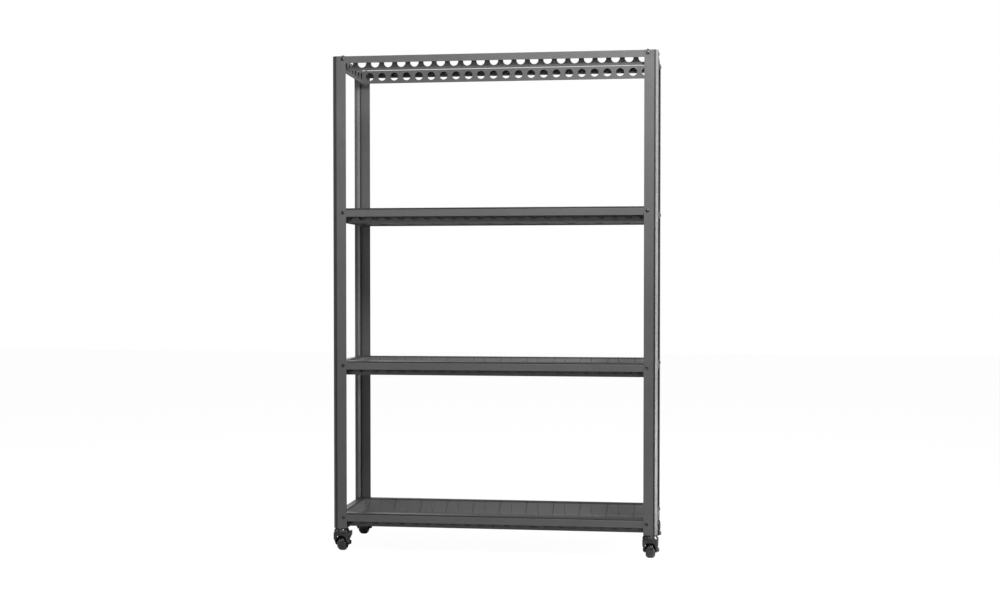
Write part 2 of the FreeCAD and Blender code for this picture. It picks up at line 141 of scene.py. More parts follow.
@dataclass
class Shader:
    """A material under construction, with short ways to add and join its nodes."""

    name: str
    material: bpy.types.Material = field(init=False)

    def __post_init__(self) -> None:
        """Makes an empty node material with its output and surface shader."""
        self.material = bpy.data.materials.new(self.name)
        self.material.use_nodes = True
        self.nodes = self.material.node_tree.nodes
        self.links = self.material.node_tree.links
        self.nodes.clear()
        self.output = self.nodes.new("ShaderNodeOutputMaterial")
        self.surface = self.nodes.new("ShaderNodeBsdfPrincipled")
        self.links.new(self.surface.outputs["BSDF"], self.output.inputs["Surface"])
        self.place = self.nodes.new("ShaderNodeTexCoord").outputs["Object"]

    def stretched(self, scale: Sequence[float]) -> Socket:
        """Object coordinates scaled along each axis.

        Args:
            scale: Factors along X, Y and Z.

        Returns:
            The scaled coordinates.
        """
        mapping = self.nodes.new("ShaderNodeMapping")
        mapping.inputs["Scale"].default_value = scale
        self.links.new(self.place, mapping.inputs["Vector"])
        return mapping.outputs["Vector"]

    def noise(self, cell: float, detail: float = 2.0, where: Socket | None = None) -> Socket:
        """Noise whose blotches are about one cell across.

        Args:
            cell: Size of a blotch in metres.
            detail: Octaves of finer noise.
            where: Coordinates to use in place of the object's own.

        Returns:
            The noise value, from 0 to 1.
        """
        node = self.nodes.new("ShaderNodeTexNoise")
        node.inputs["Scale"].default_value = 1.0 / cell
        node.inputs["Detail"].default_value = detail
        self.links.new(where or self.place, node.inputs["Vector"])
        return node.outputs["Fac"]

    def ranged(
        self, value: Socket, low: float, high: float, start: float = 0.3, stop: float = 0.7
    ) -> Socket:
        """A value mapped from start..stop to low..high.

        Args:
            value: What is mapped.
            low: Result at start.
            high: Result at stop.
            start: Value that gives low.
            stop: Value that gives high.

        Returns:
            The mapped value.
        """
        node = self.nodes.new("ShaderNodeMapRange")
        node.inputs["From Min"].default_value = start
        node.inputs["From Max"].default_value = stop
        node.inputs["To Min"].default_value = low
        node.inputs["To Max"].default_value = high
        self.links.new(value, node.inputs["Value"])
        return node.outputs["Result"]

    def blended(self, factor: Socket, first: Colour, second: Colour | Socket) -> Socket:
        """Colour between two others.

        Args:
            factor: 0 for the first colour and 1 for the second.
            first: Linear colour.
            second: Linear colour, or a socket that gives one.

        Returns:
            The blended colour.
        """
        node = self.nodes.new("ShaderNodeMix")
        node.data_type = "RGBA"
        node.inputs["A"].default_value = (*first, 1.0)
        feed(self.links, second if isinstance(second, Socket) else (*second, 1.0), node.inputs["B"])
        self.links.new(factor, node.inputs["Factor"])
        return node.outputs["Result"]

    def tint(self, colour: Colour, spread: float, cell: float, detail: float = 3.0) -> None:
        """Colours the surface in soft clouds, a little darker and a little lighter.

        Args:
            colour: Mean linear colour.
            spread: Share by which the colour goes up and down.
            cell: Size of a cloud in metres.
            detail: Octaves of finer noise.
        """
        clouds = self.ranged(self.noise(cell, detail), 0.0, 1.0)
        dark = tuple(c * (1.0 - spread) for c in colour)
        light = tuple(c * (1.0 + spread) for c in colour)
        self.links.new(self.blended(clouds, dark, light), self.surface.inputs["Base Color"])

    def roughened(self, pattern: Socket, level: float, spread: Pair) -> None:
        """Gives the surface a roughness that a noise spreads below and above its level."""
        below, above = spread
        rough = self.ranged(pattern, level - below, level + above)
        self.links.new(rough, self.surface.inputs["Roughness"])

    def fixed(self, **values: float) -> None:
        """Sets numbers that are the same all over, by name with underscores for spaces."""
        for label, value in values.items():
            self.surface.inputs[label.replace("_", " ")].default_value = value

    def shaded(self, level: Socket) -> None:
        """Multiplies the colour by a level from 0 to 1."""
        base = self.surface.inputs["Base Color"]
        self.links.new(self.blended(level, BLACK, base.links[0].from_socket), base)

    def parts(self, vector: Socket) -> list[Socket]:
        """Parts of a vector along X, Y and Z."""
        node = self.nodes.new("ShaderNodeSeparateXYZ")
        self.links.new(vector, node.inputs["Vector"])
        return list(node.outputs)

    def facing(self) -> list[Socket]:
        """Sizes of the surface normal along X, Y and Z."""
        normal = self.nodes.new("ShaderNodeNewGeometry").outputs["Normal"]
        return [self.maths("ABSOLUTE", part) for part in self.parts(normal)]

    def paint_slope_shade(self, shade: float) -> None:
        """Painted shade on the narrow slopes of ribs and beads, which turn away from the light.

        Args:
            shade: Share of the colour that is left on a slope.
        """
        x, y, z = self.facing()
        slope = self.maths("MULTIPLY", x, self.maths("ADD", y, z))
        self.shaded(self.ranged(slope, 1.0, shade, *RIB_SLOPE))

    def paint_fold_shade(self, start: float, stop: float, shade: float) -> None:
        """Painted shade in the upright lines where a post's faces meet its corner strip, where the
        bend turns away from the light.

        Args:
            start: Nearest edge of a line, measured sideways from the middle of the object.
            stop: Farthest edge of a line.
            shade: Share of the colour that is left in a line.
        """
        side = self.maths("ABSOLUTE", self.parts(self.place)[0])
        _, across, _ = self.facing()
        past = self.maths("GREATER_THAN", side, start)
        inside = self.maths("MULTIPLY", past, self.maths("LESS_THAN", side, stop))
        line = self.maths("MULTIPLY", inside, self.maths("GREATER_THAN", across, LOOKS_ALONG))
        self.shaded(self.ranged(line, 1.0, shade, 0.0, 1.0))

    def paint_band_shade(self, start: float, height: float, pitch: float, shade: float) -> None:
        """Painted shade in level bands that repeat up the object, standing in for the shade under
        each pan's rolled rim.

        Args:
            start: Height of the lowest band's foot.
            height: Height of each band.
            pitch: Distance from one band to the next.
            shade: Share of the colour that is left in a band.
        """
        above = self.maths("SUBTRACT", self.parts(self.place)[2], start)
        within = self.maths("LESS_THAN", self.maths("MODULO", above, pitch), height)
        band = self.maths("MULTIPLY", within, self.maths("GREATER_THAN", above, 0.0))
        self.shaded(self.ranged(band, 1.0, shade, 0.0, 1.0))

    def maths(self, operation: str, *values: Socket | float) -> Socket:
        """Result of one sum on sockets or plain numbers."""
        node = self.nodes.new("ShaderNodeMath")
        node.operation = operation
        for value, socket in zip(values, node.inputs):
            feed(self.links, value, socket)
        return node.outputs["Value"]

    def relief(self, layers: Iterable[tuple[Socket, float]]) -> None:
        """Bumps the surface.

        Args:
            layers: Pairs of a height from 0 to 1 and its depth in metres, coarsest first.
        """
        normal = None
        for height, depth in layers:
            node = self.nodes.new("ShaderNodeBump")
            node.inputs["Distance"].default_value = depth
            self.links.new(height, node.inputs["Height"])
            if normal is not None:
                self.links.new(normal, node.inputs["Normal"])
            normal = node.outputs["Normal"]
        if normal is not None:
            self.links.new(normal, self.surface.inputs["Normal"])


@dataclass(frozen=True)
class PowderCoat:
    """Baked powder coat on sheet steel: fine orange peel, faint cloudiness and a soft sheen."""

    name: str
    colour: Colour
    roughness: float = 0.4
    unevenness: Pair = (0.05, 0.06)
    shine: float = 0.5
    peel: float = 0.0014
    peel_depth: float = 0.00005
    coarse: float = 3.0
    coarse_depth: float = 1.5
    cloud: float = 0.12
    haze: float = 0.04
    spread: float = 0.05
    # Share of colour left by the painted shade on rib slopes; 1 paints none.
    slope_shade: float = 1.0
    # Share of colour left by the painted shade in the upright lines beside a post's corner strip,
    # and where those lines lie.
    fold_shade: float = 1.0
    fold_start: float = 473.5 * MM
    fold_stop: float = 479.0 * MM
    # Share of colour left by the painted shade along each pan's rim, and where those bands lie.
    rim_shade: float = 1.0
    rim_foot: float = 114.4 * MM
    rim_height: float = 4.2 * MM
    tier_pitch: float = 459.0 * MM

    def make(self) -> bpy.types.Material:
        """Builds the material."""
        shader = Shader(self.name)
        shader.tint(self.colour, self.spread, self.cloud)
        # Painted shade on the slopes of ribs and beads.
        if self.slope_shade < 1.0:
            shader.paint_slope_shade(self.slope_shade)
        # Painted shade in the lines where a post's faces meet its corner strip.
        if self.fold_shade < 1.0:
            shader.paint_fold_shade(self.fold_start, self.fold_stop, self.fold_shade)
        # Painted shade in a band along each pan's rim.
        if self.rim_shade < 1.0:
            shader.paint_band_shade(self.rim_foot, self.rim_height, self.tier_pitch, self.rim_shade)
        shader.roughened(shader.noise(self.haze, detail=4.0), self.roughness, self.unevenness)
        shader.fixed(Specular_IOR_Level=self.shine)
        coarse = shader.noise(self.peel * self.coarse, detail=1.0)
        fine = shader.noise(self.peel)
        shader.relief([(coarse, self.peel_depth * self.coarse_depth), (fine, self.peel_depth)])
        return shader.material


@dataclass(frozen=True)
class PlatedSteel:
    """Zinc-plated or blackened steel: brushed along its turning, with a cloudy plate."""

    name: str
    colour: Colour
    roughness: float = 0.34
    unevenness: Pair = (0.08, 0.12)
    cloud: float = 0.004
    spread: float = 0.12
    grain: float = 0.0006
    grain_depth: float = 0.00002
    brushing: float = 6.0

    def make(self) -> bpy.types.Material:
        """Builds the material."""
        shader = Shader(self.name)
        shader.fixed(Metallic=1.0)
        shader.tint(self.colour, self.spread, self.cloud, detail=4.0)
        lines = shader.noise(self.grain, 3.0, shader.stretched((1.0, 1.0, self.brushing)))
        shader.roughened(lines, self.roughness, self.unevenness)
        shader.relief([(lines, self.grain_depth)])
        return shader.material


@dataclass(frozen=True)
class Moulding:
    """Moulded plastic or rubber: even colour, fine mould grain and a chosen shine."""

    name: str
    colour: Colour
    roughness: float
    unevenness: Pair = (0.05, 0.07)
    cloud: float = 0.012
    spread: float = 0.1
    scuff: float = 0.003
    scuff_detail: float = 4.0
    grain: float = 0.0009
    depth: float = 0.00004
    coat: float = 0.0
    coat_roughness: float = 0.15

    def make(self) -> bpy.types.Material:
        """Builds the material."""
        shader = Shader(self.name)
        shader.tint(self.colour, self.spread, self.cloud)
        scuffs = shader.noise(self.scuff, self.scuff_detail)
        shader.roughened(scuffs, self.roughness, self.unevenness)
        shader.fixed(Coat_Weight=self.coat, Coat_Roughness=self.coat_roughness)
        shader.relief([(shader.noise(self.grain), self.depth)])
        return shader.material


@dataclass(frozen=True)
class GlossCoat(Moulding):
    """Black dipped coat on the caster stampings: smooth, with a clear gloss and faint waves."""

    roughness: float = 0.22
    unevenness: Pair = (0.06, 0.1)
    cloud: float = 0.024
    spread: float = 0.15
    scuff_detail: float = 5.0
    grain: float = 0.006
    depth: float = 0.00003
    coat: float = 0.4
    coat_roughness: float = 0.12


@dataclass(frozen=True)
class StudioPaper:
    """White paper that takes a soft shadow and shows white to the eye."""

    name: str
    shade: float = 0.45
    glow: float = 1.14
    share: float = 0.85

    def make(self) -> bpy.types.Material:
        """Builds the material."""
        material = bpy.data.materials.new(self.name)
        material.use_nodes = True
        tree = material.node_tree
        tree.nodes.clear()
        paper = tree.nodes.new("ShaderNodeBsdfDiffuse")
        paper.inputs["Color"].default_value = (self.shade, self.shade, self.shade, 1.0)
        glow = tree.nodes.new("ShaderNodeEmission")
        glow.inputs["Color"].default_value = WHITE
        glow.inputs["Strength"].default_value = self.glow
        path = tree.nodes.new("ShaderNodeLightPath")
        share = tree.nodes.new("ShaderNodeMath")
        share.operation = "MULTIPLY"
        share.inputs[1].default_value = self.share
        tree.links.new(path.outputs["Is Camera Ray"], share.inputs[0])
        first, second = paper.outputs["BSDF"], glow.outputs["Emission"]
        mixed(tree, "ShaderNodeOutputMaterial", share.outputs["Value"], first, second)
        return material


# Mesh helpers


def ring_radius(form: Form, size: float, angle: float) -> float:
    """Distance from the axis to a ring's outline.

    Args:
        form: Outline of the ring.
        size: Radius of a round ring, half the width across flats of a hexagon, or a cross's reach.
        angle: Direction from the axis, in radians.

    Returns:
        The distance in metres.
    """
    if form is Form.HEX:
        turn = (angle + math.pi / 6) % (math.pi / 3) - math.pi / 6
        return size / math.cos(turn)
    if form is Form.CROSS:
        return size * (CROSS_WAIST + CROSS_ARM * abs(math.cos(2 * angle)) ** CROSS_POWER)
    return size


@dataclass(frozen=True)
class Ring:
    """One outline of a turned piece: its height on the axis, size, form and outer limit."""

    height: float
    size: float
    form: Form = Form.ROUND
    limit: float = 1.0

    def point(self, angle: float) -> Vector:
        """Point of the outline in one direction."""
        reach = min(ring_radius(self.form, self.size, angle), self.limit)
        return Vector((reach * math.cos(angle), reach * math.sin(angle), self.height))


def turned_mesh(name: str, rings: Sequence[Ring], sides: int, hollow: bool = False) -> Piece:
    """Skins a stack of rings into a closed solid about +Z.

    Args:
        name: Name of the object.
        rings: Outlines in order along the skin.
        sides: Points on each ring.
        hollow: Whether the last ring joins the first, as on a nut, in place of two end caps.

    Returns:
        The object, linked to nothing.
    """
    mesh = bmesh.new()
    loops = []
    for ring in rings:
        loops.append([mesh.verts.new(ring.point(2 * math.pi * i / sides)) for i in range(sides)])
    pairs = list(zip(loops, loops[1:]))
    if hollow:
        pairs.append((loops[-1], loops[0]))
    for low, high in pairs:
        for i in range(sides):
            j = (i + 1) % sides
            mesh.faces.new((low[i], low[j], high[j], high[i]))
    if not hollow:
        for loop in (loops[0], loops[-1]):
            middle = mesh.verts.new(sum((v.co for v in loop), Vector()) / sides)
            for i in range(sides):
                mesh.faces.new((loop[i], loop[(i + 1) % sides], middle))
    bmesh.ops.recalc_face_normals(mesh, faces=mesh.faces)
    data = bpy.data.meshes.new(name)
    mesh.to_mesh(data)
    mesh.free()
    data.shade_smooth()
    return bpy.data.objects.new(name, data)


def shown(thing: Piece) -> Piece:
    """Links an object to the scene and hands it back."""
    bpy.context.scene.collection.objects.link(thing)
    return thing


def rounded(corners: Sequence[tuple[float, float, float]], steps: int) -> list[Pair]:
    """Closed outline with every corner rounded.

    Args:
        corners: Corner points, each as two coordinates and a radius.
        steps: Parts of each rounded corner.

    Returns:
        The points of the outline in order.
    """
    outline = []
    for i, (u, v, radius) in enumerate(corners):
        corner = Vector((u, v))
        back = (Vector(corners[i - 1][:2]) - corner).normalized()
        ahead = (Vector(corners[(i + 1) % len(corners)][:2]) - corner).normalized()
        half = back.angle(ahead) / 2
        middle = corner + (back + ahead).normalized() * (radius / math.sin(half))
        start = corner + back * (radius / math.tan(half)) - middle
        stop = corner + ahead * (radius / math.tan(half)) - middle
        for step in range(steps + 1):
            point = middle + start.normalized().slerp(stop.normalized(), step / steps) * radius
            outline.append((point.x, point.y))
    return outline


@dataclass
class Graph:
    """A Geometry Nodes tree under construction, with named inputs."""

    name: str
    keys: dict[str, str] = field(default_factory=dict, init=False)

    def __post_init__(self) -> None:
        """Makes the tree with its geometry input and output."""
        self.tree = bpy.data.node_groups.new(self.name, "GeometryNodeTree")
        self.tree.is_modifier = True
        for way in ("INPUT", "OUTPUT"):
            kind = "NodeSocketGeometry"
            self.tree.interface.new_socket("Geometry", in_out=way, socket_type=kind)
        self.source = self.tree.nodes.new("NodeGroupInput")
        self.sink = self.tree.nodes.new("NodeGroupOutput")

    def asks(self, label: str, kind: str) -> Socket:
        """Adds a named input to the tree.

        Args:
            label: Name of the input.
            kind: Short kind, such as Float, Int, Object or Material.

        Returns:
            The socket that carries its value inside the tree.
        """
        face = self.tree.interface
        item = face.new_socket(label, in_out="INPUT", socket_type="NodeSocket" + kind)
        self.keys[label] = item.identifier
        return self.source.outputs[label]

    def add(self, kind: str, **values: object) -> bpy.types.Node:
        """Adds a node.

        Args:
            kind: Type of the node, without its GeometryNode prefix unless it has another.
            values: Inputs by name with underscores for spaces, each a value or a socket to join.

        Returns:
            The node.
        """
        full = kind if kind.startswith(("Function", "Shader")) else "GeometryNode" + kind
        node = self.tree.nodes.new(full)
        for label, value in values.items():
            feed(self.tree.links, value, node.inputs[label.replace("_", " ")])
        return node

    def named(self, label: str, kind: str) -> Socket:
        """Value at each point of an attribute that the points carry."""
        node = self.add("InputNamedAttribute", Name=label)
        node.data_type = kind
        return node.outputs["Attribute"]

    def outward(self) -> Socket:
        """Rotation that turns +Z to where each seat faces."""
        facing = self.named("facing", "FLOAT_VECTOR")
        turn = self.add("FunctionNodeAlignRotationToVector", Vector=facing)
        turn.axis = "Z"
        return turn.outputs["Rotation"]

    def seated(self, piece: Socket) -> None:
        """Ends the tree with one small piece on every seat, turned to face outwards."""
        placed = self.add(
            "InstanceOnPoints",
            Points=self.source.outputs["Geometry"],
            Instance=piece,
            Rotation=self.outward(),
        )
        self.closes(placed.outputs["Instances"])

    def closes(self, geometry: Socket) -> None:
        """Ends the tree: real geometry, given its material."""
        real = self.add("RealizeInstances", Geometry=geometry)
        finish = self.asks("Finish", "Material")
        dressed = self.add("SetMaterial", Geometry=real.outputs[0], Material=finish)
        self.tree.links.new(dressed.outputs[0], self.sink.inputs[0])

    def bake(self, name: str, host: bpy.types.Mesh, settings: dict[str, object]) -> Piece:
        """Runs the tree on a host mesh and keeps the result as a plain mesh.

        Args:
            name: Name of the new object.
            host: Mesh that the tree starts from.
            settings: Values of the tree's named inputs.

        Returns:
            The finished object at the origin, linked to the scene.
        """
        carrier = shown(bpy.data.objects.new(name + "_carrier", host))
        modifier = carrier.modifiers.new(self.name, "NODES")
        modifier.node_group = self.tree
        for label, value in settings.items():
            modifier[self.keys[label]] = value
        carrier.update_tag()
        bpy.context.view_layer.update()
        depsgraph = bpy.context.evaluated_depsgraph_get()
        data = bpy.data.meshes.new_from_object(carrier.evaluated_get(depsgraph))
        data.name = name
        carrier.modifiers.clear()
        bpy.data.objects.remove(carrier)
        return shown(bpy.data.objects.new(name, data))


@dataclass(frozen=True)
class Seat:
    """Where a repeated small piece sits and which way it faces."""

    place: Vector
    facing: Vector


def seat_cloud(name: str, seats: Sequence[Seat]) -> bpy.types.Mesh:
    """Mesh of loose points that carry the direction each piece faces.

    Args:
        name: Name of the mesh.
        seats: The places and directions.

    Returns:
        The mesh with a vector attribute called facing.
    """
    cloud = bpy.data.meshes.new(name)
    cloud.from_pydata([seat.place for seat in seats], [], [])
    facing = cloud.attributes.new("facing", "FLOAT_VECTOR", "POINT")
    for item, seat in zip(facing.data, seats):
        item.vector = seat.facing
    return cloud


def scatter_graph() -> Graph:
    """Tree that sets one small piece on every seat."""
    graph = Graph("seated_pieces")
    pattern = graph.add("ObjectInfo", Object=graph.asks("Pattern", "Object"))
    graph.seated(pattern.outputs["Geometry"])
    return graph


def thread_graph() -> Graph:
    """Tree that winds a screw thread along +Z of every seat."""
    graph = Graph("screw_threads")
    radius = graph.asks("Radius", "Float")
    spiral = graph.add(
        "CurveSpiral",
        Start_Radius=radius,
        End_Radius=radius,
        Resolution=graph.asks("Steps", "Int"),
        Rotations=graph.asks("Turns", "Float"),
        Height=graph.asks("Length", "Float"),
    )
    ridge = graph.add("CurvePrimitiveCircle", Radius=graph.asks("Depth", "Float"), Resolution=4)
    wound = graph.add(
        "CurveToMesh",
        Curve=spiral.outputs["Curve"],
        Profile_Curve=ridge.outputs["Curve"],
        Fill_Caps=True,
    )
    graph.seated(wound.outputs["Mesh"])
    return graph


def channel_graph() -> Graph:
    """Tree that draws out a channel section and punches its row of holes and its bolt holes."""
    graph = Graph("perforated_channel")
    section = graph.source.outputs["Geometry"]
    length = graph.add("ShaderNodeCombineXYZ", X=graph.asks("Length", "Float")).outputs["Vector"]
    drawn = graph.add("ExtrudeMesh", Mesh=section, Offset=length, Individual=False)
    ends = graph.add("FlipFaces", Mesh=section)
    both = graph.add("JoinGeometry", Geometry=drawn.outputs["Mesh"])
    graph.tree.links.new(ends.outputs["Mesh"], both.inputs["Geometry"])
    blank = graph.add("MergeByDistance", Geometry=both.outputs["Geometry"], Distance=0.01 * MM)
    depth = graph.asks("Punch Depth", "Float")
    first = graph.add(
        "ShaderNodeCombineXYZ",
        X=graph.asks("First Hole", "Float"),
        Y=graph.asks("Web Place", "Float"),
        Z=graph.asks("Hole Height", "Float"),
    )
    step = graph.add("ShaderNodeCombineXYZ", X=graph.asks("Pitch", "Float"))
    row = graph.add(
        "MeshLine",
        Count=graph.asks("Holes", "Int"),
        Start_Location=first.outputs["Vector"],
        Offset=step.outputs["Vector"],
    )
    radius = graph.asks("Hole Radius", "Float")
    punch = graph.add("MeshCylinder", Vertices=64, Radius=radius, Depth=depth)
    punches = graph.add(
        "InstanceOnPoints",
        Points=row.outputs["Mesh"],
        Instance=punch.outputs["Mesh"],
        Rotation=(math.pi / 2, 0.0, 0.0),
    )
    fixings = graph.add("ObjectInfo", Object=graph.asks("Fixings", "Object"))
    drill = graph.add("MeshCylinder", Vertices=24, Radius=1.0, Depth=depth)
    bore = graph.named("bore", "FLOAT")
    drills = graph.add(
        "InstanceOnPoints",
        Points=fixings.outputs["Geometry"],
        Instance=drill.outputs["Mesh"],
        Rotation=graph.outward(),
        Scale=graph.add("ShaderNodeCombineXYZ", X=bore, Y=bore, Z=1.0).outputs["Vector"],
    )
    cut = graph.add(
        "MeshBoolean", Mesh_1=blank.outputs["Geometry"], Mesh_2=punches.outputs["Instances"]
    )
    cut.solver = "EXACT"
    graph.tree.links.new(drills.outputs["Instances"], cut.inputs["Mesh 2"])
    graph.closes(cut.outputs["Mesh"])
    return graph


@dataclass
class Workshop:
    """What every sub-assembly needs: the loaded nodes, the finishes and the shared trees."""

    nodes: dict[str, Piece]
    finishes: dict[str, bpy.types.Material]
    scatter: Graph
    threads: Graph
    channels: Graph

    def dress(self, name: str, finish: str) -> None:
        """Gives one node of the frame its finish.

        Args:
            name: Name of the node.
            finish: Name of the finish.
        """
        data = self.nodes[name].data
        data.materials.clear()
        data.materials.append(self.finishes[finish])
        LOG.info("dressed %s with %s", name, finish)

    def keep(self, piece: Piece, body: str, stands_for: Sequence[str] = ()) -> None:
        """Ties a new piece to the frame.

        Args:
            piece: The finished piece.
            body: Body that it moves with.
            stands_for: Nodes that it replaces.
        """
        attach(piece, body)
        if stands_for:
            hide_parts(*stands_for)
        LOG.info("kept %s on %s (%d faces)", piece.name, body, len(piece.data.polygons))


# Sub-assemblies


@dataclass
class Posts:
    """Folded corner posts and the plates in their feet."""

    finish: str = "post_coat"

    def build(self, shop: Workshop) -> None:
        """The posts need no finer pieces."""

    def dress(self, shop: Workshop) -> None:
        """Powder coat on every post and foot plate."""
        for corner in Corner:
            shop.dress(corner.label + "_post", self.finish)
        shop.dress("foot_plates", self.finish)


@dataclass
class Rails:
    """Perforated channel rails of the tiers: a short plain lip outside, a punched web inside."""

    finish: str = "rail_coat"
    depth: float = 22.0 * MM
    lip: float = 21.0 * MM
    wall: float = 1.2 * MM
    bend: float = 0.6 * MM
    edge_round: float = 0.25 * MM
    hole_radius: float = 12.5 * MM
    hole_pitch: float = 40.0 * MM
    hole_drop: float = 19.5 * MM
    hole_margin: float = 4.0 * MM
    bolt_edge: float = 9.0 * MM
    bolt_drop: float = 9.0 * MM
    bolt_bore: float = 3.2 * MM
    long_bolt_inset: float = 31.0 * MM
    screw_inset: float = 5.8 * MM
    screw_bore: float = 2.05 * MM
    bend_steps: int = 5
    punch_walls: float = 4.0
    made: dict[tuple[float, float, bool], Piece] = field(default_factory=dict)

    def section(self, web: float) -> list[Pair]:
        """Outline of the folded channel, outer face on 0 and top on 0.

        Args:
            web: Height of the punched web.

        Returns:
            Points across and along the height.
        """
        d, w, e = self.depth, self.wall, self.edge_round
        outer, inner = self.bend + w, self.bend
        corners = [
            (d, -web, e),
            (d, 0.0, outer),
            (0.0, 0.0, outer),
            (0.0, -self.lip, e),
            (w, -self.lip, e),
            (w, -w, inner),
            (d - w, -w, inner),
            (d - w, -web, e),
        ]
        return rounded(corners, self.bend_steps)

    def fixings(self, name: str, spots: Sequence[Seat], bores: Sequence[float]) -> Piece:
        """Loose points that say where bolt and screw holes are drilled.

        Args:
            name: Name of the object.
            spots: Places and directions of the holes.
            bores: Their radii.

        Returns:
            The object, linked to nothing.
        """
        cloud = seat_cloud(name, spots)
        bore = cloud.attributes.new("bore", "FLOAT", "POINT")
        for item, value in zip(bore.data, bores):
            item.value = value
        return bpy.data.objects.new(name, cloud)

    def rail(
        self, shop: Workshop, name: str, length: float, web: float, bolt_at: float, screwed: bool
    ) -> Piece:
        """One rail seen from its outside, along X about the origin.

        Args:
            shop: The workshop.
            name: Name of the piece.
            length: Length of the rail.
            web: Height of the punched web.
            bolt_at: Distance of the bolts from the middle.
            screwed: Whether the top also takes two screws.

        Returns:
            The finished rail.
        """
        outline = self.section(web)
        start = -length / 2
        host = bpy.data.meshes.new(name + "_section")
        host.from_pydata([(start, u, v) for u, v in outline], [], [tuple(range(len(outline)))])
        ends = (-bolt_at, bolt_at)
        spots = [Seat(Vector((x, 0.0, -self.bolt_drop)), ACROSS) for x in ends]
        bores = [self.bolt_bore] * len(ends)
        if screwed:
            spots += [Seat(Vector((x, self.screw_inset, 0.0)), UP) for x in ends]
            bores += [self.screw_bore] * len(ends)
        reach = int((length / 2 - self.hole_radius - self.hole_margin) // self.hole_pitch)
        settings = {
            "Length": length,
            "Punch Depth": self.wall * self.punch_walls,
            "First Hole": -reach * self.hole_pitch,
            "Web Place": self.depth - self.wall / 2,
            "Hole Height": -self.hole_drop,
            "Pitch": self.hole_pitch,
            "Holes": 2 * reach + 1,
            "Hole Radius": self.hole_radius,
            "Fixings": self.fixings(name + "_fixings", spots, bores),
            "Finish": shop.finishes[self.finish],
        }
        return shop.channels.bake(name, host, settings)

    def build(self, shop: Workshop) -> None:
        """Draws and punches every rail in place of the plain one."""
        post_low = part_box("front_left_post")[0]
        for tier in TIERS:
            for turns, side in enumerate(SIDES):
                node = f"{tier}_{side}_rail"
                low, high = (Vector(v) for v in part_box(node))
                size = high - low
                length = max(size.x, size.y)
                is_long = turns % 2 == 0
                inset = self.long_bolt_inset - (low.x - post_low[0]) if is_long else self.bolt_edge
                screwed = is_long and tier == TIERS[-1]
                kind = (round(length, 5), round(size.z, 5), screwed)
                if kind not in self.made:
                    bolt_at = length / 2 - inset
                    blank = self.rail(shop, node + "_blank", length, size.z, bolt_at, screwed)
                    self.made[kind] = blank
                data = self.made[kind].data.copy()
                piece = shown(bpy.data.objects.new(node + "_punched", data))
                outward = -ACROSS
                outward.rotate(Matrix.Rotation(turns * math.pi / 2, 3, "Z"))
                reach = Vector((outward.x * size.x, outward.y * size.y, size.z))
                seat = (low + high) / 2 + reach / 2
                turn = Matrix.Rotation(turns * math.pi / 2, 4, "Z")
                piece.data.transform(Matrix.Translation(seat) @ turn)
                shop.keep(piece, "frame", [node])
        for blank in self.made.values():
            bpy.data.objects.remove(blank)

    def dress(self, shop: Workshop) -> None:
        """Powder coat on every rail."""
        for tier in TIERS:
            for side in SIDES:
                shop.dress(f"{tier}_{side}_rail", self.finish)


@dataclass
class ShelfPans:
    """Ribbed pans of the three shelves."""

    finish: str = "pan_coat"

    def build(self, shop: Workshop) -> None:
        """The pans need no finer pieces."""

    def dress(self, shop: Workshop) -> None:
        """Powder coat on every pan."""
        for tier in PAN_TIERS:
            shop.dress(tier + "_shelf_pan", self.finish)


